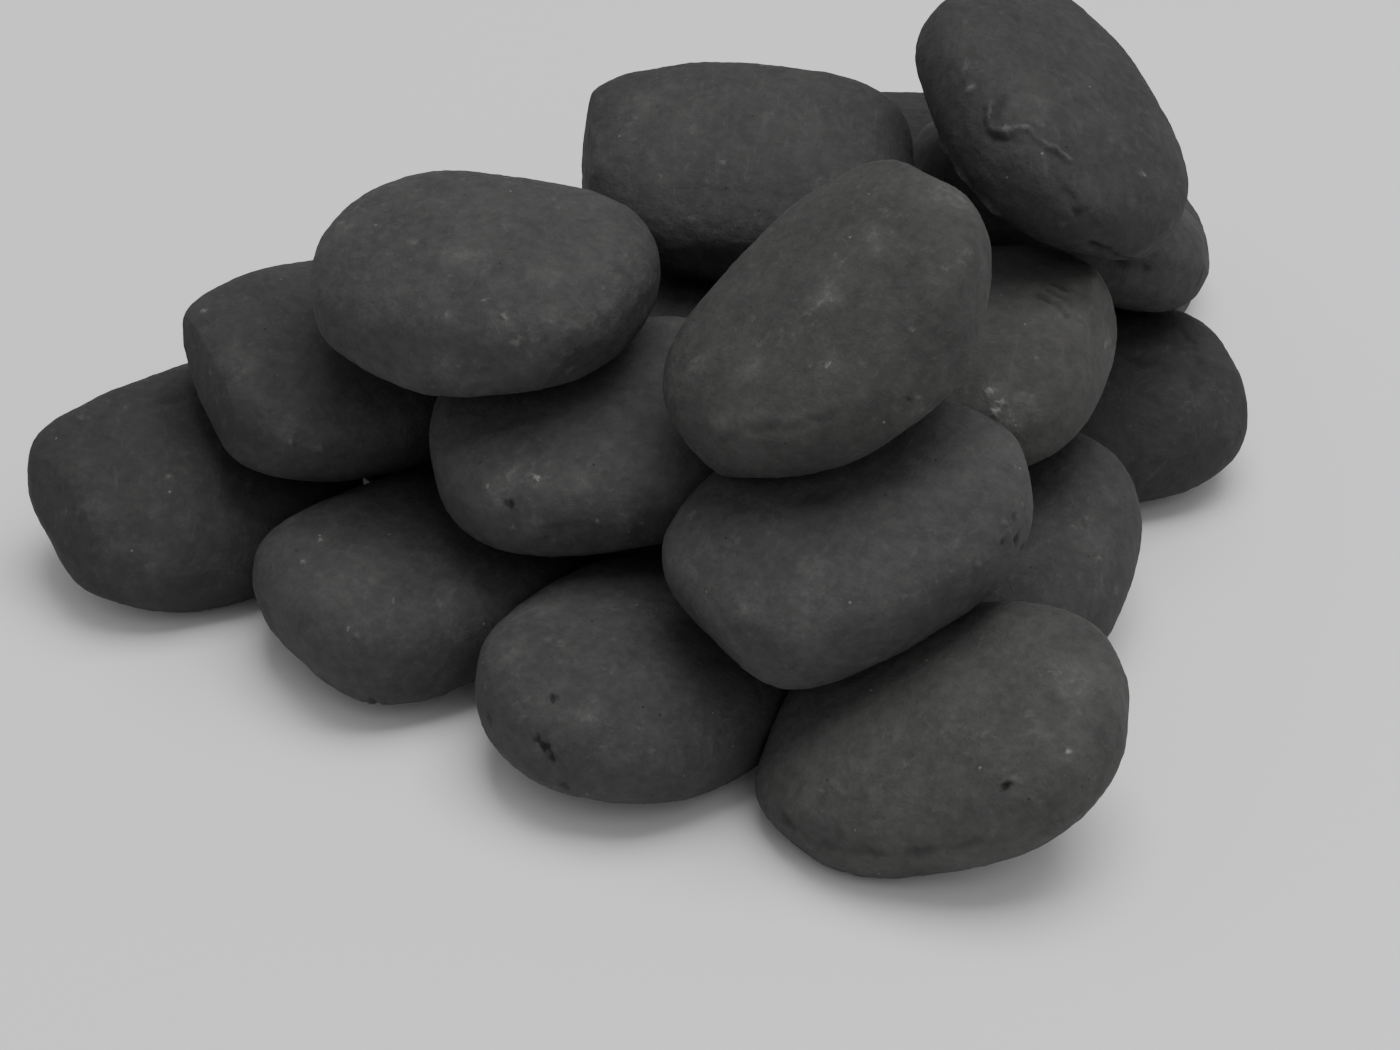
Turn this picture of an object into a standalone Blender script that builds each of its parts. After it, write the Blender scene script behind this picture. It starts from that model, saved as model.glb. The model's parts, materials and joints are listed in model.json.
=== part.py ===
"""A heap of pillow-shaped massage stones, all of one size, each a loose solid.

The stones are laid one at a time, as by hand.  A bed stone is set on the ground and shoved
aside until it is clear of its neighbours.  Every other stone is lowered at its place in the
plan until it comes to rest on the ones beneath.  So the heap closes up or spreads by itself
when a stone's length, width or thickness changes.
"""

import math
from dataclasses import dataclass

import bmesh
import bpy
import numpy as np
from mathutils import Euler

# Driving dimensions, in metres.
STONE_LENGTH = 0.075
STONE_WIDTH = 0.061
STONE_THICKNESS = 0.029
CONTACT_GAP = 0.0005
SHOVE_STEP = 0.0002

# The form of a stone: 2 would make an ellipse, and a high power a box.
PLAN_POWER = 2.5
SECTION_POWER = 2.7
SEGMENTS = 24
RINGS = 10

# The unit of the plan: how far apart two stones lie when they are side by side.
PITCH = (STONE_LENGTH + STONE_WIDTH) / 2

# The finish: dark, dry and matt.
STONE_COLOUR = (0.075, 0.075, 0.073, 1.0)
STONE_ROUGHNESS = 0.85

HEAP_NAME = "massage_stone_heap"


@dataclass(frozen=True)
class Lay:
    """How one stone lies: its place in the plan in pitches, and its turns in degrees."""

    name: str
    across: float  # along X
    back: float  # along Y
    heading: float  # of the long axis, about Z
    dip: float  # of the long axis, downwards
    tilt: float  # about the long axis


BED = (
    Lay("middle_front_stone", -0.17, -0.32, 53, 4, 7),
    Lay("right_front_stone", 0.72, -0.73, -12, -19, 15),
    Lay("left_front_stone", -0.88, 0.20, 45, 6, 4),
    Lay("left_end_stone", -1.61, 0.69, 37, 4, 19),
    Lay("right_side_stone", 0.95, 0.30, 70, -12, -6),
    Lay("right_end_stone", 1.32, 1.26, 6, -4, 6),
    Lay("middle_bed_stone", 0.03, 0.76, 65, 0, 0),
    Lay("left_bed_stone", -0.74, 1.36, 28, 0, 0),
    Lay("rear_bed_stone", 0.41, 1.79, 72, 0, 0),
    Lay("far_bed_stone", 1.36, 2.22, 70, 0, 0),
)

UPPER = (
    Lay("left_shoulder_stone", -1.12, 0.84, 32, 5, 13),
    Lay("centre_ledge_stone", -0.29, 0.31, 8, -5, 9),
    Lay("right_ledge_stone", 0.45, -0.33, 27, -16, 6),
    Lay("right_shoulder_stone", 0.88, 0.72, 73, -5, -14),
    Lay("far_shoulder_stone", 1.23, 1.65, -4, 23, -16),
    Lay("inner_stone", -0.06, 1.29, 10, 0, -3),
    Lay("rear_ledge_stone", 0.63, 2.42, 34, 9, -15),
    Lay("left_top_stone", -0.68, 0.53, -20, -3, 6),
    Lay("leaning_stone", 0.39, 0.01, 46, -27, -10),
    Lay("back_top_stone", 0.16, 1.33, -1, 2, 15),
    Lay("steep_top_stone", 1.15, 1.28, -72, 18, -26),
)


@dataclass(frozen=True)
class Form:
    """The stone's form about its own centre: points all over it, and its faces as planes.

    The planes are set outwards by the contact gap, so two stones that just touch in the
    sums still have that much air between them.
    """

    points: np.ndarray
    normals: np.ndarray
    offsets: np.ndarray


class LaidStone:
    """A convex stone, turned and put in its place."""

    def __init__(self, form, turn, centre):
        self.turn = turn
        self.centre = np.array(centre)
        self.points = form.points @ turn.T + self.centre
        self.normals = form.normals @ turn.T
        self.offsets = form.offsets + self.normals @ self.centre

    def span(self, plan):
        """The lowest and the highest Z of the stone over each point of the plan.

        Where a point is outside the stone's outline, the lowest is above the highest.
        """
        heights = (self.offsets - plan @ self.normals[:, :2].T) / self.normals[:, 2]
        facing_up = self.normals[:, 2] > 0
        return heights[:, ~facing_up].max(axis=1), heights[:, facing_up].min(axis=1)


def power(value, exponent):
    """The value's size to a power, with the value's own sign."""
    return math.copysign(abs(value) ** exponent, value)


def shape_point(point):
    """Move a point of the unit sphere to its place on the pillow form."""
    radius = math.hypot(point.x, point.y)
    height = power(point.z, 2 / SECTION_POWER)
    if abs(point.z) > math.cos(1.5 * math.pi / RINGS):
        height = math.copysign(1, point.z)  # the last ring and the pole make a small flat
    if radius < 1e-6:
        return 0.0, 0.0, height * STONE_THICKNESS / 2
    along, aside = point.x / radius, point.y / radius
    reach = (abs(along) ** PLAN_POWER + abs(aside) ** PLAN_POWER) ** (-1 / PLAN_POWER)
    reach *= radius ** (2 / SECTION_POWER)
    return (
        reach * along * STONE_LENGTH / 2,
        reach * aside * STONE_WIDTH / 2,
        height * STONE_THICKNESS / 2,
    )


def make_stone_mesh():
    """One stone, lying flat about the origin with its long axis on X."""
    shape = bmesh.new()
    bmesh.ops.create_uvsphere(shape, u_segments=SEGMENTS, v_segments=RINGS, radius=1)
    for vertex in shape.verts:
        vertex.co = shape_point(vertex.co)
    bmesh.ops.triangulate(shape, faces=shape.faces)
    mesh = bpy.data.meshes.new("stone")
    shape.to_mesh(mesh)
    shape.free()
    mesh.shade_smooth()
    return mesh


def read_form(mesh):
    """Take the stone's points, with the middles of its edges, and its faces from the mesh."""
    corners = np.array([tuple(vertex.co) for vertex in mesh.vertices])
    ends = np.array([tuple(edge.vertices) for edge in mesh.edges])
    middles = corners[ends].mean(axis=1)
    normals = np.array([tuple(face.normal) for face in mesh.polygons])
    on_face = np.array([corners[face.vertices[0]] for face in mesh.polygons])
    offsets = np.einsum("ij,ij->i", normals, on_face) + CONTACT_GAP
    return Form(np.vstack((corners, middles)), normals, offsets)


def turn_of(lay):
    """The stone's turn as Euler angles: tilt about X, then dip about Y, then heading about Z."""
    angles = (lay.tilt, lay.dip, lay.heading)
    return Euler([math.radians(angle) for angle in angles], "XYZ")


def ground_height(form, turn):
    """The height of the centre of a turned stone that just touches the ground."""
    return -(form.points @ turn.T)[:, 2].min()


def come_to_rest(form, turn, plan, laid):
    """Lower a turned stone at this place of the plan until it touches something.

    Returns the height of its centre, and the stone that stopped it, or None for the ground.
    """
    stone = LaidStone(form, turn, (*plan, 0.0))
    height, support = ground_height(form, turn), None
    for other in laid:
        if np.linalg.norm(other.centre[:2] - plan) > math.hypot(STONE_LENGTH, STONE_WIDTH):
            continue
        other_bottom, other_top = other.span(stone.points[:, :2])
        own_bottom, own_top = stone.span(other.points[:, :2])
        lifts = np.concatenate((
            (other_top - stone.points[:, 2])[other_top >= other_bottom],
            (other.points[:, 2] - own_bottom)[own_top >= own_bottom],
        ))
        if lifts.size and lifts.max() > height:
            height, support = lifts.max(), other
    return height, support


def lay_on_ground(form, lay, laid):
    """Set a bed stone down, shoved away from each neighbour that is in its way."""
    turn = np.array(turn_of(lay).to_matrix())
    plan = np.array((lay.across, lay.back)) * PITCH
    height, in_the_way = come_to_rest(form, turn, plan, laid)
    while in_the_way:
        away = plan - in_the_way.centre[:2]
        plan = plan + away / np.linalg.norm(away) * SHOVE_STEP
        height, in_the_way = come_to_rest(form, turn, plan, laid)
    return LaidStone(form, turn, (*plan, height))


def lay_on_others(form, lay, laid):
    """Lower a stone at its place in the plan onto the ones beneath it."""
    turn = np.array(turn_of(lay).to_matrix())
    plan = np.array((lay.across, lay.back)) * PITCH
    height, _ = come_to_rest(form, turn, plan, laid)
    return LaidStone(form, turn, (*plan, height))


def make_material(name):
    """A dark, dry, matt finish for one stone."""
    material = bpy.data.materials.new(name)
    material.use_nodes = True
    shader = material.node_tree.nodes["Principled BSDF"]
    shader.inputs["Base Color"].default_value = STONE_COLOUR
    shader.inputs["Roughness"].default_value = STONE_ROUGHNESS
    shader.inputs["Metallic"].default_value = 0.0
    return material


def main():
    """Lay the heap and stand it on the origin."""
    for obj in list(bpy.data.objects):
        bpy.data.objects.remove(obj)
    heap = bpy.data.collections.new(HEAP_NAME)
    bpy.context.scene.collection.children.link(heap)

    mesh = make_stone_mesh()
    form = read_form(mesh)
    laid = []
    for lay in BED:
        laid.append(lay_on_ground(form, lay, laid))
    for lay in UPPER:
        laid.append(lay_on_others(form, lay, laid))

    points = np.vstack([stone.points for stone in laid])
    middle = (points.min(axis=0) + points.max(axis=0)) / 2
    for lay, stone in zip(BED + UPPER, laid):
        obj = bpy.data.objects.new(lay.name, mesh.copy())
        obj.data.name = lay.name
        obj.data.materials.append(make_material(lay.name))
        obj.location = stone.centre - (middle[0], middle[1], 0.0)
        obj.rotation_euler = turn_of(lay)
        heap.objects.link(obj)
    bpy.data.meshes.remove(mesh)


main()
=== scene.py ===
"""A heap of dark, matt massage stones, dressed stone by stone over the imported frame."""

from __future__ import annotations

import json
import logging
import math
from dataclasses import dataclass, field
from enum import Enum

import bpy
import numpy as np
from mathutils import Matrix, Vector

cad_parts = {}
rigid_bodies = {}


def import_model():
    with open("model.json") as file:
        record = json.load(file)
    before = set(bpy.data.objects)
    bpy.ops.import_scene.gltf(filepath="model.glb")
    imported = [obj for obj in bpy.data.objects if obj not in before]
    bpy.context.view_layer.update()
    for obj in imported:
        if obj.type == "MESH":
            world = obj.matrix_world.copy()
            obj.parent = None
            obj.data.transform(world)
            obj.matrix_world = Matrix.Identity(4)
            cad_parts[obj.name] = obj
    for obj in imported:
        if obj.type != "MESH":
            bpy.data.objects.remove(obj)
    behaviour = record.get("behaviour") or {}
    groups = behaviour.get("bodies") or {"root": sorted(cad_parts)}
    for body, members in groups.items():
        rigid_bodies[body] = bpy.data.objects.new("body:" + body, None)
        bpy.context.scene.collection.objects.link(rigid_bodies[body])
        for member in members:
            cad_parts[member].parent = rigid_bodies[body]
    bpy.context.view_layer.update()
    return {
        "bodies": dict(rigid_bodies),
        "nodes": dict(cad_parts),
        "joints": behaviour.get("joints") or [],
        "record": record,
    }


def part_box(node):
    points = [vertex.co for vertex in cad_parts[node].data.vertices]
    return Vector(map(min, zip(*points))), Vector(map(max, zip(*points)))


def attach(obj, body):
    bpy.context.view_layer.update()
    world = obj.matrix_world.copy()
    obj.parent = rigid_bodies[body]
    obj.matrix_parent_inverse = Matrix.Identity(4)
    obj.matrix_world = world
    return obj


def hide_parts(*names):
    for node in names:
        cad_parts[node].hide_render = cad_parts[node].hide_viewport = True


log = logging.getLogger("massage_stone_heap")

MM = 0.001

# About half the stone's length, width and thickness, in millimetres.
HALF_SPANS = (37.0, 30.0, 14.5)

# How ragged a pit's rim is, and how fast that varies along each axis.
RIM_RAGGEDNESS = 0.35
RIM_WAVES = (3.4, -4.6, 2.2)
PIT_FLOOR = 0.35  # the flat middle, as a share of the radius

# How a seam strays to its sides, in shares of its width, and how its height comes and goes.
STRAY = 0.35
STRAY_WAVE, STRAY_RIPPLE, STRAY_RIPPLE_SHARE = 0.8, 1.9, 0.6
FADE_MEAN, FADE_SWING, FADE_WAVE = 0.7, 0.3, 0.6
STEP_REACH = 3.0  # widths on each side over which a step dies away
STEP_EDGE = 0.45  # how sharp its edge is, in widths

# Tones that all stones share.
FLECK_TONE = (0.20, 0.20, 0.19)
CHALK_TONE = (0.19, 0.19, 0.185)
# Painted shade: near-black for the shade in pores, pits and grooves, and for one painted shadow patch.
PAINTED_SHADE_TONE = (0.008, 0.008, 0.008)

# The relief of the grain: the share of each pattern, and the height of the whole in metres.
CLOUD_RELIEF, GRAIN_RELIEF, SAND_RELIEF = 0.5, 0.9, 0.35
HOLE_RELIEF, STREAK_RELIEF = -0.8, 0.25
RELIEF_STRENGTH, RELIEF_HEIGHT = 0.7, 0.0006

# Stones that the others hide from the front, made from a coarser ball.
HIDDEN = ("middle_bed_stone", "left_bed_stone", "rear_bed_stone", "inner_stone")


def bearing_direction(bearing: float, lift: float) -> np.ndarray:
    """Turn a bearing and a lift on a stone into a unit direction.

    Args:
        bearing: Degrees round the stone's plan, from its long axis.
        lift: Degrees up from the stone's waist; negative is its underside.

    Returns:
        The direction from the stone's centre, in the stone's own axes.
    """
    around, up = math.radians(bearing), math.radians(lift)
    return np.array((math.cos(around) * math.cos(up), math.sin(around) * math.cos(up), math.sin(up)))


def smooth(value: np.ndarray, low: float, high: float) -> np.ndarray:
    """Ease a value from 0 at low to 1 at high."""
    part = np.clip((value - low) / (high - low), 0.0, 1.0)
    return part * part * (3.0 - 2.0 * part)


@dataclass
class Clay:
    """A stone while it is being shaped, in its own axes: X long, Y broad, Z thick."""

    directions: np.ndarray
    points: np.ndarray
    pale: np.ndarray
    dark: np.ndarray

    def outward(self) -> np.ndarray:
        """The way out of the stone at each point."""
        slopes = self.points / np.array(HALF_SPANS) ** 2
        return slopes / np.linalg.norm(slopes, axis=1)[:, None]

    def nearest(self, place: tuple[float, float, float]) -> np.ndarray:
        """The point of the surface that is nearest to a place."""
        away = np.linalg.norm(self.points - np.array(place), axis=1)
        return self.points[int(np.argmin(away))].copy()


@dataclass(frozen=True)
class Grab:
    """A pull on one part of the form, outwards, or inwards where it is negative."""

    bearing: float
    lift: float
    pull: float
    spread: float = 32.0

    def work(self, clay: Clay) -> None:
        """Pull the clay around one direction."""
        way = bearing_direction(self.bearing, self.lift)
        angle = np.degrees(np.arccos(np.clip(clay.directions @ way, -1.0, 1.0)))
        weight = np.exp(-((angle / self.spread) ** 2))
        clay.points += weight[:, None] * way * self.pull


@dataclass(frozen=True)
class Facet:
    """A place where the press or a fall has left the form nearly flat."""

    bearing: float
    lift: float
    depth: float
    bulge: float = 0.5

    def work(self, clay: Clay) -> None:
        """Press the clay back towards a plane across one direction."""
        way = bearing_direction(self.bearing, self.lift)
        reach = clay.points @ way
        excess = np.maximum(reach - (reach.max() - self.depth), 0.0)
        kept = self.bulge * (1.0 - np.exp(-excess / self.bulge))
        clay.points -= (excess - kept)[:, None] * way


@dataclass(frozen=True)
class Pit:
    """A small hole or chip, or a blister where its depth is negative.

    It lies on the surface nearest to its place, which is in the stone's own axes, in
    millimetres.  A tint above 0 is painted shade in the hollow, and one below 0 is pale dust.
    """

    place: tuple[float, float, float]
    radius: float
    depth: float
    shade_and_dust: float = 0.0

    def work(self, clay: Clay) -> None:
        """Push the clay in or out around one place, and darken it with painted shade, or, where the tint is
        negative, lay pale dust on it.
        """
        offset = clay.points - clay.nearest(self.place)
        waves = offset @ np.array(RIM_WAVES) / self.radius + sum(self.place)
        ragged = 1.0 + RIM_RAGGEDNESS * np.sin(waves)
        away = np.linalg.norm(offset, axis=1) * ragged
        weight = 1.0 - smooth(away, self.radius * PIT_FLOOR, self.radius)
        clay.points -= weight[:, None] * clay.outward() * self.depth
        # Painted shade: a positive tint darkens the hollow; a negative one lays pale dust.
        clay.dark += weight * max(self.shade_and_dust, 0.0)
        clay.pale += weight * max(-self.shade_and_dust, 0.0)


class Profile(Enum):
    """What a line on the stone looks like across its run."""

    RIDGE = "ridge"
    GROOVE = "groove"
    STEP = "step"


@dataclass(frozen=True)
class Seam:
    """A ridge, groove or step that runs over the stone from place to place."""

    places: tuple[tuple[float, float, float], ...]
    width: float
    height: float
    profile: Profile = Profile.RIDGE
    shade_and_dust: float = 0.0

    def work(self, clay: Clay) -> None:
        """Raise or lower the clay along the run."""
        best = np.full(len(clay.points), 1e9)
        side = np.zeros(len(clay.points))
        out = clay.outward()
        along = np.zeros(len(clay.points))
        gone = 0.0
        stops = [clay.nearest(place) for place in self.places]
        for first, last in zip(stops, stops[1:]):
            run = last - first
            part = np.clip((clay.points - first) @ run / (run @ run), 0.0, 1.0)
            offset = clay.points - (first + part[:, None] * run)
            away = np.linalg.norm(offset, axis=1)
            across = np.einsum("ij,ij->i", np.cross(out, run / np.linalg.norm(run)), offset)
            nearer = away < best
            best = np.where(nearer, away, best)
            side = np.where(nearer, across, side)
            along = np.where(nearer, gone + part * np.linalg.norm(run), along)
            gone += float(np.linalg.norm(run))
        ripple = STRAY_RIPPLE_SHARE * np.sin(STRAY_RIPPLE * along + 1.0)
        wander = STRAY * self.width * (np.sin(STRAY_WAVE * along) + ripple)
        vary = FADE_MEAN + FADE_SWING * np.sin(FADE_WAVE * along + 0.5)
        past_end = np.maximum(best**2 - side**2, 0.0)
        near = vary * np.exp(-(((side + wander) ** 2 + past_end) / self.width**2))
        if self.profile is Profile.STEP:
            fade = vary * np.exp(-((best / (self.width * STEP_REACH)) ** 2))
            lift = fade * np.tanh((side + wander) / (STEP_EDGE * self.width)) * 0.5
        else:
            lift = near if self.profile is Profile.RIDGE else -near
        clay.points += (lift * self.height)[:, None] * out
        # Painted shade: a positive tint darkens a groove along its run; a negative one lays pale dust along
        # it.
        clay.pale += near * max(-self.shade_and_dust, 0.0)
        clay.dark += near * max(self.shade_and_dust, 0.0)


@dataclass(frozen=True)
class DustAndShadePatch:
    """A soft patch on the face with no depth of its own: pale dust, or, where its strength is negative,
    dark painted shade.
    """

    place: tuple[float, float, float]
    radius: float
    strength: float

    def work(self, clay: Clay) -> None:
        """Lay pale dust around one place, or dark painted shade where the strength is negative."""
        away = np.linalg.norm(clay.points - clay.nearest(self.place), axis=1)
        weight = np.exp(-((away / self.radius) ** 2))
        if self.strength > 0.0:
            clay.pale += weight * self.strength
        else:
            # Painted shade: a negative strength darkens the patch.
            clay.dark -= weight * self.strength


@dataclass(frozen=True)
class PressForm:
    """The form that every stone comes out of the press with, in millimetres."""

    length: float = 75.0
    width: float = 61.0
    thickness: float = 29.0
    plan_power: float = 2.5
    section_power: float = 2.7

    def shape(self, directions: np.ndarray) -> np.ndarray:
        """Lay points of the unit sphere out on the pillow form.

        Args:
            directions: Unit directions, one a row.

        Returns:
            The points on the form, in millimetres.
        """
        radius = np.hypot(directions[:, 0], directions[:, 1])
        safe = np.maximum(radius, 1e-9)
        along, aside = directions[:, 0] / safe, directions[:, 1] / safe
        power = self.plan_power
        reach = (np.abs(along) ** power + np.abs(aside) ** power) ** (-1.0 / power)
        reach *= radius ** (2.0 / self.section_power)
        height = np.sign(directions[:, 2]) * np.abs(directions[:, 2]) ** (2.0 / self.section_power)
        return np.column_stack(
            (
                reach * along * self.length / 2.0,
                reach * aside * self.width / 2.0,
                height * self.thickness / 2.0,
            )
        )


@dataclass(frozen=True)
class StoneFinish:
    """Dry, matt, dark stone: fine grain, cloudy tone, dust, flecks, and small pits with painted shade in
    them.
    """

    name: str
    dark: tuple[float, float, float] = (0.030, 0.030, 0.030)
    light: tuple[float, float, float] = (0.062, 0.062, 0.061)
    dust: tuple[float, float, float] = (0.125, 0.125, 0.122)
    roughness: float = 0.86
    dustiness: float = 0.5
    turn: float = 0.0

    def make(self) -> bpy.types.Material:
        """Build the node material.

        Returns:
            The material, reading Object coordinates and the stone's own attributes.
        """
        material = bpy.data.materials.new(self.name)
        material.use_nodes = True
        bench = NodeBench(material.node_tree)
        shader = material.node_tree.nodes["Principled BSDF"]
        place = bench.place(self.turn)

        cloud = bench.noise(place, 70.0, 6.0, 0.62)
        grain = bench.noise(place, 340.0, 6.0, 0.76)
        sand = bench.noise(place, 1500.0, 2.0, 0.6)
        tone = bench.blend_values(bench.ramp(cloud, 0.30, 0.72), bench.ramp(grain, 0.30, 0.72), 0.62)
        colour = bench.mix(tone, bench.colour(self.dark), bench.colour(self.light))

        crumbs = bench.ramp(bench.noise(place, 430.0, 4.0, 0.66), 0.44, 0.68)
        smudge_mask = bench.multiply(bench.ramp(bench.noise(place, 130.0, 5.0, 0.70), 0.55, 0.74), crumbs)
        smudge_mask = bench.scale(smudge_mask, self.dustiness)
        pale = bench.attribute("pale")
        chalk = bench.multiply(bench.ramp(pale, 0.70, 1.0), bench.span(crumbs, 0.35, 1.0))
        pale = bench.multiply(pale, bench.span(crumbs, 0.30, 0.90))
        smudge_mask = bench.add_values(smudge_mask, pale)
        colour = bench.mix(smudge_mask, colour, bench.colour(self.dust))

        flecks = bench.flecks(place, 270.0, 0.085, 0.90)
        colour = bench.mix(bench.scale(flecks, 0.45), colour, bench.colour(FLECK_TONE))
        streaks = bench.streaks(self.turn)
        faint = bench.scale(bench.ramp(streaks, 0.57, 0.72), 0.12)
        colour = bench.mix(faint, colour, bench.colour(self.dust))
        colour = bench.mix(bench.scale(chalk, 0.85), colour, bench.colour(CHALK_TONE))
        # Painted shade: the pores, and the dark attribute that holds painted shade in pits and grooves and
        # one painted shadow patch, are mixed towards near-black.
        holes = bench.flecks(place, 300.0, 0.09, 0.92)
        shade_and_dust = bench.add_values(bench.scale(holes, 0.6), bench.attribute("dark"))
        colour = bench.mix(shade_and_dust, colour, bench.colour(PAINTED_SHADE_TONE))

        bench.join(colour, shader.inputs["Base Color"])
        rough = bench.span(grain, self.roughness - 0.10, min(self.roughness + 0.08, 1.0))
        bench.join(rough, shader.inputs["Roughness"])
        shader.inputs["Specular IOR Level"].default_value = 0.28

        relief = bench.add_values(bench.scale(cloud, CLOUD_RELIEF), bench.scale(grain, GRAIN_RELIEF))
        relief = bench.add_values(relief, bench.scale(sand, SAND_RELIEF))
        relief = bench.add_values(relief, bench.scale(holes, HOLE_RELIEF))
        relief = bench.add_values(relief, bench.scale(streaks, STREAK_RELIEF))
        bump = bench.node("ShaderNodeBump")
        bump.inputs["Strength"].default_value = RELIEF_STRENGTH
        bump.inputs["Distance"].default_value = RELIEF_HEIGHT
        bench.join(relief, bump.inputs["Height"])
        bench.join(bump.outputs["Normal"], shader.inputs["Normal"])
        return material


@dataclass
class NodeBench:
    """Adds and joins the nodes of one material."""

    tree: bpy.types.NodeTree

    def node(self, kind: str) -> bpy.types.Node:
        """Add a node of a kind."""
        return self.tree.nodes.new(kind)

    def join(self, source: bpy.types.NodeSocket, target: bpy.types.NodeSocket) -> None:
        """Link one socket to another."""
        self.tree.links.new(source, target)

    def colour(self, value: tuple[float, float, float]) -> tuple[float, float, float, float]:
        """A colour with its alpha."""
        return (*value, 1.0)

    def place(
        self, turn: float, stretch: tuple[float, float, float] = (1.0, 1.0, 1.0)
    ) -> bpy.types.NodeSocket:
        """Object coordinates, turned and stretched.

        Args:
            turn: Degrees about each axis, so that no two stones share a grain.
            stretch: How much finer the pattern is along each axis.

        Returns:
            The vector socket.
        """
        coordinates = self.node("ShaderNodeTexCoord")
        turning = self.node("ShaderNodeMapping")
        turning.inputs["Rotation"].default_value = [math.radians(turn * k) for k in (1.0, 0.7, 1.9)]
        self.join(coordinates.outputs["Object"], turning.inputs["Vector"])
        stretching = self.node("ShaderNodeMapping")
        stretching.inputs["Scale"].default_value = stretch
        self.join(turning.outputs["Vector"], stretching.inputs["Vector"])
        return stretching.outputs["Vector"]

    def noise(
        self,
        place: bpy.types.NodeSocket,
        scale: float,
        detail: float,
        roughness: float,
        distortion: float = 0.0,
    ) -> bpy.types.NodeSocket:
        """A cloudy pattern, as a value."""
        noise = self.node("ShaderNodeTexNoise")
        noise.inputs["Scale"].default_value = scale
        noise.inputs["Detail"].default_value = detail
        noise.inputs["Roughness"].default_value = roughness
        noise.inputs["Distortion"].default_value = distortion
        self.join(place, noise.inputs["Vector"])
        return noise.outputs["Fac"]

    def ramp(self, value: bpy.types.NodeSocket, low: float, high: float) -> bpy.types.NodeSocket:
        """Stretch the part of a value from low to high over 0 to 1."""
        ramp = self.node("ShaderNodeMapRange")
        ramp.interpolation_type = "SMOOTHSTEP"
        ramp.inputs["From Min"].default_value = low
        ramp.inputs["From Max"].default_value = high
        self.join(value, ramp.inputs["Value"])
        return ramp.outputs["Result"]

    def span(self, value: bpy.types.NodeSocket, low: float, high: float) -> bpy.types.NodeSocket:
        """Lay a value of 0 to 1 over low to high."""
        span = self.node("ShaderNodeMapRange")
        span.inputs["To Min"].default_value = low
        span.inputs["To Max"].default_value = high
        self.join(value, span.inputs["Value"])
        return span.outputs["Result"]

    def math(
        self, operation: str, first: bpy.types.NodeSocket, second: bpy.types.NodeSocket | float
    ) -> bpy.types.NodeSocket:
        """The result of one operation on two values, the second of which may be a plain number."""
        node = self.node("ShaderNodeMath")
        node.operation = operation
        self.join(first, node.inputs[0])
        if isinstance(second, float):
            node.inputs[1].default_value = second
        else:
            self.join(second, node.inputs[1])
        return node.outputs["Value"]

    def multiply(self, first: bpy.types.NodeSocket, second: bpy.types.NodeSocket) -> bpy.types.NodeSocket:
        """One value times another."""
        return self.math("MULTIPLY", first, second)

    def scale(self, value: bpy.types.NodeSocket, factor: float) -> bpy.types.NodeSocket:
        """A value times a fixed factor."""
        return self.math("MULTIPLY", value, factor)

    def add_values(self, first: bpy.types.NodeSocket, second: bpy.types.NodeSocket) -> bpy.types.NodeSocket:
        """The sum of two values."""
        return self.math("ADD", first, second)

    def blend_values(
        self, first: bpy.types.NodeSocket, second: bpy.types.NodeSocket, share: float
    ) -> bpy.types.NodeSocket:
        """A blend of two values, with the second's share given."""
        return self.add_values(self.scale(first, 1.0 - share), self.scale(second, share))

    def mix(
        self,
        factor: bpy.types.NodeSocket,
        first: bpy.types.NodeSocket | tuple[float, float, float, float],
        second: bpy.types.NodeSocket | tuple[float, float, float, float],
    ) -> bpy.types.NodeSocket:
        """Blend two colours by a value."""
        mix = self.node("ShaderNodeMix")
        mix.data_type = "RGBA"
        mix.clamp_factor = True
        self.join(factor, mix.inputs["Factor"])
        for name, colour in (("A", first), ("B", second)):
            socket = next(s for s in mix.inputs if s.name == name and s.type == "RGBA")
            if isinstance(colour, tuple):
                socket.default_value = colour
            else:
                self.join(colour, socket)
        return next(s for s in mix.outputs if s.type == "RGBA")

    def attribute(self, name: str) -> bpy.types.NodeSocket:
        """One of the stone's own point attributes, as a value."""
        attribute = self.node("ShaderNodeAttribute")
        attribute.attribute_name = name
        return attribute.outputs["Fac"]

    def flecks(
        self, place: bpy.types.NodeSocket, scale: float, size: float, rarity: float
    ) -> bpy.types.NodeSocket:
        """Small scattered dots.

        Args:
            place: The coordinates they lie in.
            scale: How closely they are sown.
            size: A dot's radius, as a share of the spacing.
            rarity: The share of the dots that are left out.

        Returns:
            1 on a dot, 0 off it.
        """
        cells = self.node("ShaderNodeTexVoronoi")
        cells.inputs["Scale"].default_value = scale
        self.join(place, cells.inputs["Vector"])
        dot = self.math("LESS_THAN", cells.outputs["Distance"], size)
        split = self.node("ShaderNodeSeparateColor")
        self.join(cells.outputs["Color"], split.inputs["Color"])
        chosen = self.math("GREATER_THAN", split.outputs["Red"], rarity)
        return self.multiply(dot, chosen)

    def streaks(self, turn: float) -> bpy.types.NodeSocket:
        """Faint fine streaks along one way, as the press leaves them."""
        place = self.place(turn + 25.0, (150.0, 700.0, 700.0))
        return self.noise(place, 1.0, 3.0, 0.6, 0.6)


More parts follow.
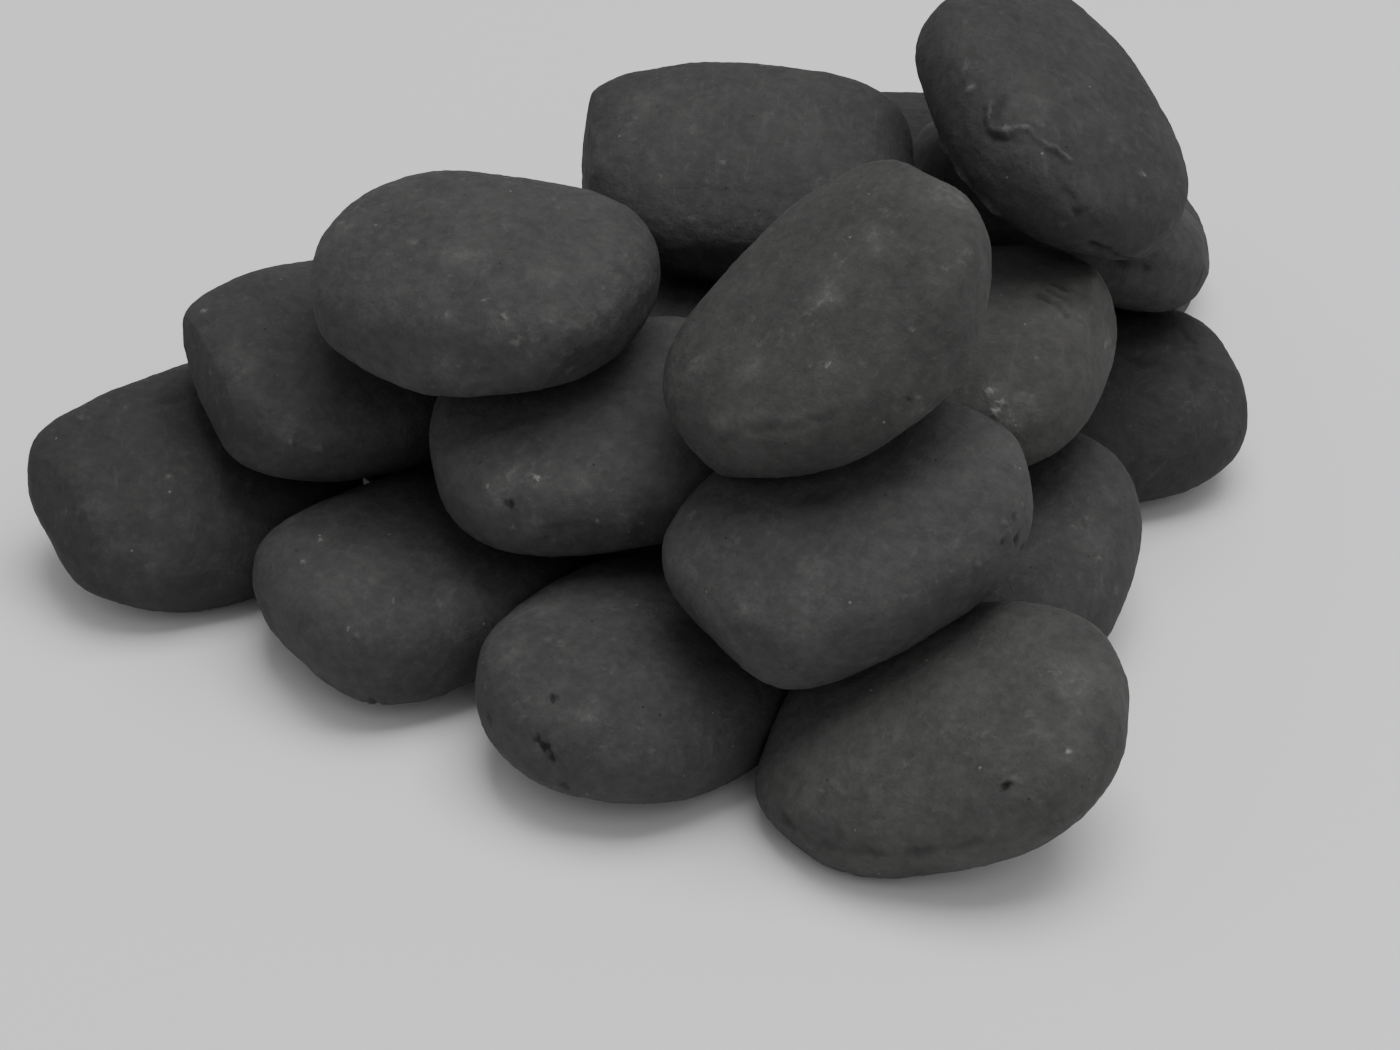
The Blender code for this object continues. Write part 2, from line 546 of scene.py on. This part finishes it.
@dataclass
class Stone:
    """One stone of the heap: how it lies, and what makes it unlike the others."""

    name: str
    heading: float
    dip: float
    tilt: float
    marks: tuple[Grab | Facet | Pit | Seam | DustAndShadePatch, ...] = ()
    finish: StoneFinish = field(default_factory=lambda: StoneFinish("stone"))
    swell: float = 1.1
    form: PressForm = field(default_factory=PressForm)

    def build(self, blank: bpy.types.Object) -> bpy.types.Object:
        """Shape, place and finish the stone.

        Args:
            blank: The ball of clay that each stone is copied from.

        Returns:
            The finished piece, with its place in its mesh.
        """
        piece = blank.copy()
        piece.data = blank.data.copy()
        piece.name = piece.data.name = f"dressed_{self.name}"
        bpy.context.scene.collection.objects.link(piece)
        self.sculpt(piece)
        self.lay(piece)
        self.weather(piece)
        piece.data.shade_smooth()
        piece.data.materials.append(self.finish.make())
        return piece

    def sculpt(self, piece: bpy.types.Object) -> None:
        """Give the ball the pressed form, then work the stone's own marks into it."""
        mesh = piece.data
        flat = np.empty(len(mesh.vertices) * 3)
        mesh.vertices.foreach_get("co", flat)
        directions = flat.reshape(-1, 3)
        directions = directions / np.linalg.norm(directions, axis=1)[:, None]
        count = len(directions)
        clay = Clay(directions, self.form.shape(directions), np.zeros(count), np.zeros(count))
        for mark in self.marks:
            mark.work(clay)
        mesh.vertices.foreach_set("co", (clay.points * MM).ravel())
        for name, values in (("pale", clay.pale), ("dark", clay.dark)):
            layer = mesh.attributes.new(name, "FLOAT", "POINT")
            layer.data.foreach_set("value", np.clip(values, 0.0, 1.0))
        mesh.update()

    def lay(self, piece: bpy.types.Object) -> None:
        """Turn the stone as it lies, and put it where its solid is."""
        low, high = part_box(self.name)
        piece.location = (low + high) / 2
        piece.rotation_euler = [math.radians(a) for a in (self.tilt, self.dip, self.heading)]
        Workshop.only(piece)
        bpy.ops.object.transform_apply(location=True, rotation=True, scale=True)

    def weather(self, piece: bpy.types.Object) -> None:
        """Work unevenness into the surface, from broad swells down to coarse grain."""
        for name, size, depth in (
            ("swell", 0.020, self.swell * MM),
            ("lumps", 0.0065, 0.40 * MM),
            ("grain", 0.0020, 0.28 * MM),
        ):
            Workshop.roughen(piece, name, size, depth)


class Workshop:
    """The common steps of the work."""

    @staticmethod
    def clear_selection() -> None:
        """Deselect everything."""
        bpy.ops.object.select_all(action="DESELECT")

    @classmethod
    def only(cls, piece: bpy.types.Object) -> None:
        """Select one piece and make it active."""
        cls.clear_selection()
        piece.select_set(True)
        bpy.context.view_layer.objects.active = piece

    @classmethod
    def apply(cls, piece: bpy.types.Object, modifier: bpy.types.Modifier) -> None:
        """Apply one modifier of a piece."""
        cls.only(piece)
        bpy.ops.object.modifier_apply(modifier=modifier.name)

    @classmethod
    def make_blank(cls, cuts: int, levels: int) -> bpy.types.Object:
        """Make a ball of even faces to shape the stones from.

        Args:
            cuts: Cuts along each side of the cube it starts as.
            levels: Halvings of each face after that.

        Returns:
            The ball, to be copied.
        """
        cls.clear_selection()
        bpy.ops.mesh.primitive_cube_add(size=2.0, location=(0.0, 0.0, 0.0))
        blank = bpy.context.active_object
        bpy.ops.object.mode_set(mode="EDIT")
        bpy.ops.mesh.select_all(action="SELECT")
        bpy.ops.mesh.subdivide(number_cuts=cuts)
        bpy.ops.object.mode_set(mode="OBJECT")
        cast = blank.modifiers.new("round", "CAST")
        cast.factor = 1.0
        cls.apply(blank, cast)
        fine = blank.modifiers.new("fine", "SUBSURF")
        fine.levels = fine.render_levels = levels
        cls.apply(blank, fine)
        return blank

    @classmethod
    def roughen(cls, piece: bpy.types.Object, name: str, size: float, depth: float) -> None:
        """Push a piece's surface in and out by a cloudy pattern.

        Args:
            piece: The piece to work on.
            name: What to call the pattern.
            size: The width of a bump, in metres.
            depth: The height from hollow to crest, in metres.
        """
        pattern = bpy.data.textures.new(name, "CLOUDS")
        pattern.noise_scale = size
        pattern.noise_depth = 2
        push = piece.modifiers.new(name, "DISPLACE")
        push.texture = pattern
        push.texture_coords = "LOCAL"
        push.mid_level = 0.5
        push.strength = depth
        cls.apply(piece, push)


@dataclass
class Heap:
    """The whole heap, with each stone on its own CAD body."""

    visible_cuts: int = 10
    hidden_cuts: int = 5
    levels: int = 3

    def stones(self) -> tuple[Stone, ...]:
        """Every stone, from the ground up."""
        return (*ground_course(), *ledge_course(), *top_course())

    def build(self, frame: dict) -> list[bpy.types.Object]:
        """Build every stone on its body.


        Returns:
            The dressed pieces.
        """
        blank = Workshop.make_blank(self.visible_cuts, self.levels)
        rough_blank = Workshop.make_blank(self.hidden_cuts, self.levels)
        bodies = frame["record"]["behaviour"]["bodies"]
        homes = {node: body for body, nodes in bodies.items() for node in nodes}
        pieces = []
        for stone in self.stones():
            piece = stone.build(rough_blank if stone.name in HIDDEN else blank)
            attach(piece, homes[stone.name])
            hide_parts(stone.name)
            log.info("%s: %d faces", piece.name, len(piece.data.polygons))
            pieces.append(piece)
        for ball in (blank, rough_blank):
            bpy.data.objects.remove(ball)
        return pieces


def tone(
    name: str, shade: float = 1.0, dustiness: float = 0.5, turn: float = 0.0, warmth: float = 0.0
) -> StoneFinish:
    """The common finish, a little lighter or darker for one stone.

    Args:
        name: The stone's name.
        shade: 1 for the common tone; lower is darker. Set stone by stone from how light or dark each stone
            looks, so it is partly the stone's own tone and partly painted light and shade.
        dustiness: How much pale dust lies in its grain.
        turn: Degrees that its pattern is turned by.
        warmth: How far the tone leans to brown.

    Returns:
        The stone's own finish.
    """
    base = StoneFinish("common")
    lean = (1.0 + warmth, 1.0, 1.0 - warmth)
    return StoneFinish(
        f"basalt_{name}",
        dark=tuple(shade * k * c for k, c in zip(lean, base.dark)),
        light=tuple(shade * k * c for k, c in zip(lean, base.light)),
        dustiness=dustiness,
        turn=turn,
    )


def ground_course() -> tuple[Stone, ...]:
    """The stones that lie on the ground."""
    return (
        Stone(
            "middle_front_stone", 53, 4, 7,
            (
                Grab(180, -20, 1.0, 20), Grab(140, -5, -1.0, 20), Grab(220, -30, -1.0, 20),
                Grab(270, -15, 1.0, 20), Facet(205, -5, 1.2), DustAndShadePatch((-11, 20, 12), 4, 0.3),
                DustAndShadePatch((-26, 16, 10), 3, 0.4), DustAndShadePatch((-29, -7, 11), 3, 0.35),
                DustAndShadePatch((-14, 6, 14), 9, 0.15), Pit((-31, 1, 10), 1.2, 0.5, 0.8),
                Pit((-37, -3, 3), 1.3, 0.8, 0.8), Pit((-37, -5, 2), 1.2, 0.7, 0.7),
                Pit((-37, -1, 4), 1.1, 0.6, 0.7), Pit((-36, -8, -4), 1.0, 0.5, 0.5),
                Pit((-35, 13, 0), 1.5, 0.5, 0.2),
            ),
            tone("middle_front", 0.97, 0.5, 10),
        ),
        Stone(
            "right_front_stone", -12, -19, 15,
            (
                Grab(192, 0, 3.5, 20), Grab(330, -20, -1.5, 32), Facet(265, -10, 1.0),
                Seam(
                    ((-31, -18, 5), (-25, -24, 4), (-16, -28, 3), (-8, -30, 3), (1, -30, 3), (9, -30, 3)),
                    1.4, 0.8, Profile.GROOVE, 0.3,
                ),
                Seam(((-29, -17, 8), (-22, -23, 7), (-12, -27, 6), (0, -29, 6)), 1.8, 0.5, shade_and_dust=-0.1),
                Seam(((-15, -13, 13), (-13, -17, 13), (-11, -21, 12)), 1.0, 0.5, shade_and_dust=-0.15),
                Seam(((-19, -17, 12), (-16, -21, 11)), 0.9, 0.4, shade_and_dust=-0.1),
                DustAndShadePatch((28, 2, 11), 4, 0.65), DustAndShadePatch((30, -3, 10), 3, 0.5),
                DustAndShadePatch((23, -13, 12), 3, 0.4), DustAndShadePatch((29, -16, 9), 3, 0.3),
                DustAndShadePatch((-8, -22, 11), 7, 0.2), DustAndShadePatch((-20, -8, 13), 6, 0.2),
                Pit((17, -23, 10), 1.3, 0.8, 0.7), Pit((19, -22, 10), 1.2, -0.4, -0.4),
                Pit((13, -12, 14), 0.8, -0.2, -0.9), Pit((-21, -18, 10), 0.8, 0.3, -0.7),
                Pit((29, -16, 9), 0.8, -0.2, -0.9),
            ),
            tone("right_front", 1.12, 0.55, 40, 0.01),
        ),
        Stone(
            "left_front_stone", 45, 6, 4,
            (
                Grab(160, -10, -3.0, 32), Grab(90, 20, -2.0, 32), Grab(220, -35, 2.5, 20),
                Facet(200, -30, 1.5),
                Seam(((-36, 7, 4), (-37, -8, 0), (-31, -19, -5), (-16, -26, -8)), 3.0, 0.5),
                DustAndShadePatch((-24, -6, 12), 8, 0.3), DustAndShadePatch((-21, 9, 13), 3, 0.3),
                Pit((-28, 6, 11), 0.8, -0.2, -0.8), Pit((-21, 9, 13), 0.8, -0.2, -0.7),
                Pit((-22, -16, 11), 0.8, -0.3, -1.0), Pit((-32, -14, 7), 0.9, -0.3, -1.0),
                Pit((-31, -16, 6), 0.8, -0.2, -0.8), Pit((-28, -20, -10), 2.5, 1.0, 0.2),
            ),
            tone("left_front", 0.95, 0.35, 70),
        ),
        Stone(
            "left_end_stone", 37, 4, 19,
            (
                Grab(110, 5, -3.0, 45), Grab(138, 10, 2.0, 16), Grab(202, -20, 1.0, 16),
                Grab(180, -10, -1.0, 24), Grab(270, -10, 1.5, 45), Facet(178, 20, 2.4, 0.4),
                Facet(255, 10, 1.0),
                Seam(((-28, 4, 11), (-31, -9, 10), (-31, -19, 3)), 3.2, 0.5, shade_and_dust=-0.2),
                Seam(((-3, 14, 14), (3, 12, 14), (8, 14, 14)), 1.3, 0.5, Profile.GROOVE, 0.3),
                DustAndShadePatch((-13, -7, 14), 9, 0.15), Pit((-13, -7, 14), 0.8, -0.2, -0.7),
                DustAndShadePatch((-24, -22, 6), 5, 0.2),
            ),
            # Partly the stone's own tone and partly painted shade: its finish is made darker than the
            # common tone.
            tone("left_end", 0.68, 0.35, 100),
        ),
        Stone(
            "right_side_stone", 70, -12, -6,
            (
                Grab(310, 0, -1.0, 45), Facet(270, 25, 0.8), Pit((-6, -26, 10), 0.8, -0.2, -0.8),
                Pit((3, -21, 12), 0.7, -0.2, -0.7), DustAndShadePatch((-2, -24, 11), 7, 0.2),
            ),
            tone("right_side", 0.88, 0.55, 130),
        ),
        Stone(
            "right_end_stone", 6, -4, 6,
            (
                Grab(10, 5, -1.5, 45), Facet(330, 25, 1.2), Facet(10, 20, 1.0),
                Seam(((9, -2, 14), (12, -5, 14), (16, -7, 14)), 1.8, 0.6, Profile.GROOVE, 0.5),
                Seam(((24, 8, 12), (25, -3, 12), (21, -13, 12)), 1.2, 0.6, Profile.GROOVE, 0.2),
                Seam(((2, -6, 14), (6, -12, 14), (12, -17, 13)), 1.0, 0.5, Profile.GROOVE, 0.2),
                DustAndShadePatch((19, -17, 12), 6, 0.2),
            ),
            # Partly the stone's own tone and partly painted shade: its finish is made darker than the
            # common tone.
            tone("right_end", 0.64, 0.3, 160),
        ),
        Stone(
            "middle_bed_stone", 65, 0, 0,
            (Facet(200, -10, 1.5),),
            tone("middle_bed", 0.9, 0.3, 190),
        ),
        Stone(
            "left_bed_stone", 28, 0, 0,
            (Facet(80, 15, 1.5), Facet(150, -5, 1.0)),
            tone("left_bed", 0.9, 0.3, 220),
        ),
        Stone(
            "rear_bed_stone", 72, 0, 0,
            (Facet(20, 10, 1.5), Facet(300, -5, 1.0)),
            tone("rear_bed", 0.9, 0.3, 250),
        ),
        Stone(
            "far_bed_stone", 70, 0, 0,
            (Facet(330, 15, 1.5), Facet(40, -5, 1.0)),
            tone("far_bed", 0.9, 0.3, 280),
        ),
    )


def ledge_course() -> tuple[Stone, ...]:
    """The stones that lie on the ground course."""
    return (
        Stone(
            "left_shoulder_stone", 32, 5, 13,
            (
                Grab(130, 5, 2.0, 20), Grab(145, 15, 1.5, 14), Grab(205, -20, 1.5, 16),
                Grab(165, -5, -1.5, 20), Grab(280, -15, -1.5, 32), Grab(80, 20, -1.0, 20),
                Facet(175, 0, 2.2, 0.3),
                Seam(
                    ((-31, 0, 10), (-32, -16, 6), (-28, -22, 4), (-18, -28, 0)),
                    2.6, 0.5, shade_and_dust=-0.15,
                ),
                Pit((-30, 17, 8), 1.1, -0.3, -0.9), Pit((-36, 3, 4), 1.0, -0.3, -0.9),
                DustAndShadePatch((-28, -20, 6), 5, 0.25), Pit((-27, -22, 4), 1.4, -0.5, -0.2),
                Pit((-22, -24, 3), 1.5, -0.5, -0.2), DustAndShadePatch((-31, -4, 10), 4, 0.2),
            ),
            tone("left_shoulder", 0.78, 0.3, 15),
        ),
        Stone(
            "centre_ledge_stone", 8, -5, 9,
            (
                Grab(220, -15, 1.0, 32), Grab(80, 20, -1.5, 20), Facet(262, -5, 1.2),
                DustAndShadePatch((-21, -20, 10), 3, 0.6), DustAndShadePatch((-16, -23, 10), 2.5, 0.6),
                DustAndShadePatch((-25, -21, 8), 2.5, 0.5), DustAndShadePatch((-8, -24, 10), 3, 0.45),
                DustAndShadePatch((-19, -28, 3), 2.5, 0.5), DustAndShadePatch((0, -30, 4), 3, 0.5),
                Pit((-6, -30, 3), 0.9, -0.3, -1.0), Pit((3, -30, 1), 0.9, -0.3, -0.9),
                Pit((-23, -26, 2), 1.0, -0.4, -0.8), Pit((-27, -20, 8), 1.0, -0.3, -0.8),
                Pit((-17, -22, 10), 0.9, -0.3, -0.8), Pit((-23, -24, 6), 1.1, 0.6, 0.7),
                DustAndShadePatch((-4, -24, 11), 8, 0.15),
                Seam(((-28, -20, 1), (-18, -29, -1), (0, -31, -1)), 2.2, 0.4),
            ),
            tone("centre_ledge", 0.92, 0.45, 45),
        ),
        Stone(
            "right_ledge_stone", 27, -16, 6,
            (
                Grab(0, 5, 2.5, 20), Grab(210, -15, -1.0, 45), Grab(140, 5, 1.0, 20),
                Grab(290, -15, -1.0, 45), Facet(184, -10, 2.0, 0.3), Facet(300, -10, 1.0),
                Grab(222, -30, 2.0, 15), DustAndShadePatch((-15, -16, 13), 4, 0.4), DustAndShadePatch((-30, -12, 10), 3, 0.4),
                DustAndShadePatch((-22, -22, 8), 5, 0.25), Pit((26, -25, 1), 1.6, 0.7, 0.7),
                Pit((27, -21, -5), 1.5, 0.7, 0.7),
                Seam(((-34, -6, 9), (-33, -12, 5), (-29, -20, 3)), 1.2, 0.3, Profile.GROOVE),
                Seam(((-30, -4, 11), (-31, -14, 8), (-26, -22, 6)), 1.6, 0.35),
                DustAndShadePatch((33, -8, 4), 4, 0.35),
                Seam(((-6, 2, 14), (-3, 0, 14), (-4, -4, 14)), 1.1, 0.4, Profile.GROOVE, 0.15),
                Pit((-36, -2, 4), 1.1, -0.4, -0.3), Pit((-28, -23, 0), 1.4, -0.4, -0.3),
                Pit((27, -23, 6), 1.2, 0.4, 0.3), Pit((22, -26, 5), 1.1, 0.4, 0.4),
                Pit((14, -28, 5), 1.1, -0.4, -0.3), Pit((24, -24, 7), 1.0, -0.4, -0.5),
                Pit((30, -20, 5), 1.0, -0.4, -0.5),
            ),
            tone("right_ledge", 1, 0.5, 75),
        ),
        Stone(
            "right_shoulder_stone", 73, -5, -14,
            (
                Grab(297, 35, 2.0, 14), Grab(200, -30, -1.5, 20), Facet(272, 12, 2.0, 0.4),
                Facet(330, 10, 2.0, 0.3),
                Seam(((6, -17, 14), (3, -21, 13), (0, -24, 11)), 0.7, 0.5, Profile.GROOVE, 0.6),
                Seam(((11, -19, 13), (9, -22, 11), (8, -25, 9)), 0.7, 0.5, Profile.GROOVE, 0.6),
                Seam(((8, -18, 13), (6, -22, 12), (4, -24, 11)), 0.6, 0.35, Profile.GROOVE, 0.4),
                DustAndShadePatch((-28, -14, 10), 3, 0.7), DustAndShadePatch((-31, -18, 6), 2.5, 0.65),
                DustAndShadePatch((-27, -20, 8), 2.5, 0.55), Pit((-29, -16, 9), 1.1, -0.5, -0.8),
                Pit((-31, -15, 8), 1.3, -0.5, -0.75), Pit((-27, -13, 11), 1.0, -0.4, -0.7),
                DustAndShadePatch((24, -8, 12), 5, 0.35), DustAndShadePatch((16, -22, 11), 4, 0.35),
                Pit((-16, -21, 11), 0.8, -0.3, -0.8), DustAndShadePatch((0, -24, 10), 6, 0.2),
            ),
            tone("right_shoulder", 1.0, 0.7, 105, 0.015),
        ),
        Stone(
            "far_shoulder_stone", -4, 23, -16,
            (
                Grab(340, -15, -1.0, 45), Facet(290, 5, 1.0), Facet(345, 35, 1.4, 0.3),
                # Painted shadow: this dark patch on the left end stands in for the shadow cast by the steep
                # top stone.
                DustAndShadePatch((-36, -5, 2), 14, -0.7),
                Seam(((8, -30, 2), (13, -29, 1), (18, -28, 2)), 1.1, 0.9, Profile.GROOVE, 0.9),
            ),
            tone("far_shoulder", 1, 0.4, 135),
        ),
        Stone(
            "inner_stone", 10, 0, -3,
            (Facet(60, 10, 1.5), Facet(200, -5, 1.0)),
            tone("inner", 0.9, 0.3, 165),
        ),
        Stone(
            "rear_ledge_stone", 34, 9, -15,
            (Facet(120, 10, 1.2), Facet(240, 5, 1.0)),
            # Painted shade: the tone is made far darker than the others to stand in for the shadow this
            # stone lies in.
            tone("rear_ledge", 0.45, 0.3, 195),
        ),
    )


def top_course() -> tuple[Stone, ...]:
    """The stones on top of the others."""
    return (
        Stone(
            "left_top_stone", -20, -3, 6,
            (
                Grab(270, -25, 2.5, 20), Grab(200, 0, -2.5, 20), Grab(90, 25, -1.5, 32),
                Facet(322, -22, 1.9, 0.3), Facet(150, 25, 1.0),
                Seam(((37, 1, 3), (33, -14, 7), (27, -23, 4), (15, -28, -4)), 2.2, 0.5, shade_and_dust=-0.1),
                DustAndShadePatch((3, -12, 14), 4, 0.5), DustAndShadePatch((21, -12, 13), 3, 0.5),
                DustAndShadePatch((25, -21, 8), 2.5, 0.5), DustAndShadePatch((16, -26, 8), 3, 0.55),
                DustAndShadePatch((4, -30, 0), 4, 0.35), DustAndShadePatch((20, -28, 1), 3, 0.35),
                DustAndShadePatch((-29, -5, 13), 3, 0.3), Pit((-31, -3, 12), 1.5, -0.5, -0.3),
                Pit((-27, 2, 13), 1.3, -0.4, -0.3), Pit((-14, -14, 13), 0.8, -0.2, -0.8),
                Pit((11, -22, 11), 0.8, -0.2, -0.9), Pit((16, -24, 9), 1.1, -0.4, -0.7),
            ),
            tone("left_top", 0.97, 0.6, 30),
        ),
        Stone(
            "leaning_stone", 46, -27, -10,
            (
                Grab(270, -20, 3.0, 20), Grab(20, 15, 2.5, 20), Grab(80, 25, -2.0, 32),
                Grab(210, -15, -2.5, 20), Grab(310, -10, -2.0, 20), Grab(168, -30, 2.5, 14),
                Facet(205, 5, 0.8), DustAndShadePatch((-2, -9, 14), 3, 0.7), DustAndShadePatch((1, -6, 14), 5, 0.25),
                DustAndShadePatch((15, -8, 14), 3, 0.5), DustAndShadePatch((12, -11, 14), 2.5, 0.35),
                DustAndShadePatch((-25, 9, 12), 3, 0.5), DustAndShadePatch((-22, -5, 13), 3, 0.5),
                DustAndShadePatch((-15, -20, 11), 3, 0.5), DustAndShadePatch((-33, -8, 8), 5, 0.3),
                DustAndShadePatch((33, -9, 8), 5, 0.45), Pit((-15, -20, 11), 0.8, -0.4, -1.0),
                Pit((-17, -17, 12), 0.7, -0.3, -0.8), Pit((7, -4, 15), 0.7, -0.2, -0.8),
                Pit((1, -28, 8), 0.8, -0.3, -0.8), Pit((-9, -30, -1), 1.0, 0.4, 0.7),
                Pit((-7, -30, -2), 0.7, -0.3, -0.9),
                Seam(
                    ((-36, -4, 6), (-32, -13, 8), (-28, -20, 7), (-20, -26, 6)),
                    1.0, 0.5, Profile.GROOVE, 0.15,
                ),
                Seam(((-35, -1, 9), (-31, -11, 10), (-26, -19, 8)), 1.3, 0.4, shade_and_dust=-0.3),
                DustAndShadePatch((31, -15, 8), 4, 0.3),
            ),
            tone("leaning", 0.88, 0.55, 60, 0.01),
        ),
        Stone(
            "back_top_stone", -1, 2, 15,
            (
                Grab(150, 5, 2.0, 32), Grab(148, 20, 1.5, 14), Grab(40, 10, 1.5, 20),
                Grab(80, 15, -1.0, 32), Grab(230, -15, -1.0, 45), Facet(182, 12, 2.2, 0.3),
                Facet(268, 0, 1.4, 0.6), Seam(((-30, 12, 10), (-35, 2, 8), (-33, -10, 7)), 1.4, 0.5),
                Seam(((-35, 6, 5), (-37, -2, 3), (-34, -12, 2)), 1.2, 0.4, Profile.GROOVE, 0.2),
                DustAndShadePatch((-25, 8, 12), 4, 0.3), Pit((-6, -12, 14), 0.8, -0.2, -0.7),
                DustAndShadePatch((-11, 2, 14), 6, 0.15),
                Seam(((-16, -18, 12), (-4, -20, 12), (8, -20, 12)), 1.2, 0.25, Profile.GROOVE),
                DustAndShadePatch((11, 3, 14), 5, 0.2),
            ),
            tone("back_top", 0.84, 0.45, 90),
        ),
        Stone(
            "steep_top_stone", -72, 18, -26,
            (
                Grab(160, 25, 3.0, 20), Grab(350, -20, -1.0, 45), Grab(200, 5, -1.5, 20),
                Grab(50, 5, -1.0, 20), Grab(260, -15, -1.0, 20), Facet(285, 20, 1.0),
                Seam(
                    ((10, -27, 8), (14, -28, 5), (17, -27, 7), (18, -23, 10), (23, -19, 10), (26, -15, 11)),
                    0.8, 1.3, Profile.RIDGE, -0.6,
                ),
                Seam(
                    ((9, -25, 10), (12, -27, 8), (13, -29, 6), (17, -28, 5), (20, -24, 8)),
                    1.1, 0.8, Profile.GROOVE, 0.5,
                ),
                Pit((17, -26, 8), 1.4, -0.5, -0.6), Pit((12, -28, 7), 1.2, -0.4, -0.3),
                Seam(
                    ((2, -27, -12), (10, -28, -11), (18, -26, -9), (26, -22, -8)),
                    1.2, 1.0, Profile.RIDGE, -0.5,
                ),
                Seam(((32, -14, 7), (35, -10, 5), (36, -7, 4)), 1.1, 0.8, Profile.STEP, 0.1),
                Pit((34, -12, 4), 1.4, 0.6, 0.5),
                Seam(((37, -4, -2), (37, 3, -4), (34, 11, -6)), 1.0, 1.0, Profile.GROOVE, 1.0),
                Seam(((36, 9, -3), (35, 12, 1), (33, 14, 5)), 1.4, 0.5, Profile.RIDGE, -0.25),
                Pit((27, 5, 12), 1.1, -0.3, -0.9), Pit((20, -2, 14), 1.0, -0.3, -0.4),
                DustAndShadePatch((12, -18, 12), 5, 0.2), DustAndShadePatch((34, -12, 6), 4, 0.2),
                Pit((3, -29, 6), 1.3, -0.4, -0.4),
            ),
            tone("steep_top", 0.78, 0.4, 120),
        ),
    )


@dataclass(frozen=True)
class Studio:
    """The plain room round the heap: floor, soft lights and the camera."""

    camera_place: tuple[float, float, float] = (0.011, -0.740, 0.496)
    camera_fall: float = 33.8
    lens: float = 100.2
    floor_size: float = 6.0
    floor_tone: float = 0.80
    sky: float = 0.48

    def build(self) -> None:
        """Set up the whole room."""
        self.lay_floor()
        self.light()
        self.set_camera()

    def lay_floor(self) -> None:
        """Lay the plain pale floor."""
        Workshop.clear_selection()
        bpy.ops.mesh.primitive_plane_add(size=self.floor_size, location=(0.0, 0.0, 0.0))
        floor = bpy.context.active_object
        floor.name = floor.data.name = "floor"
        material = bpy.data.materials.new("pale_floor")
        material.use_nodes = True
        shader = material.node_tree.nodes["Principled BSDF"]
        shader.inputs["Base Color"].default_value = (self.floor_tone,) * 3 + (1.0,)
        shader.inputs["Roughness"].default_value = 0.9
        floor.data.materials.append(material)

    def light(self) -> None:
        """Hang a broad soft light over the heap, and fill the room with an even sky."""
        world = bpy.data.worlds.new("room")
        bpy.context.scene.world = world
        world.use_nodes = True
        sky = world.node_tree.nodes["Background"]
        sky.inputs["Color"].default_value = (1.0, 1.0, 1.0, 1.0)
        sky.inputs["Strength"].default_value = self.sky
        self.hang("top_light", (0.25, 0.05, 1.45), (0.0, 0.0, 0.03), 1.1, 19.0)
        self.hang("front_light", (0.5, -1.3, 1.2), (0.0, 0.0, 0.04), 0.9, 3.5)

    def hang(
        self,
        name: str,
        place: tuple[float, float, float],
        aim: tuple[float, float, float],
        size: float,
        power: float,
    ) -> None:
        """Hang one soft light.

        Args:
            name: The light's name.
            place: Where it hangs.
            aim: What it faces.
            size: The side of its square face.
            power: Its power in watts.
        """
        Workshop.clear_selection()
        bpy.ops.object.light_add(type="AREA", location=place)
        lamp = bpy.context.active_object
        lamp.name = name
        lamp.rotation_euler = (Vector(aim) - Vector(place)).to_track_quat("-Z", "Y").to_euler()
        lamp.data.size = size
        lamp.data.energy = power

    def set_camera(self) -> None:
        """Set the camera up in front, looking down on the heap."""
        Workshop.clear_selection()
        bpy.ops.object.camera_add(location=self.camera_place)
        camera = bpy.context.active_object
        camera.name = "camera"
        camera.rotation_euler = (math.radians(90.0 - self.camera_fall), 0.0, 0.0)
        camera.data.lens = self.lens
        camera.data.sensor_width = 36.0
        camera.data.clip_start = 0.01
        bpy.context.scene.camera = camera


def main() -> None:
    """Load the frame, dress the heap and set up the room."""
    logging.basicConfig(level=logging.INFO, format="%(name)s: %(message)s")
    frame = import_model()
    Heap().build(frame)
    Studio().build()


if __name__ == "__main__":
    main()
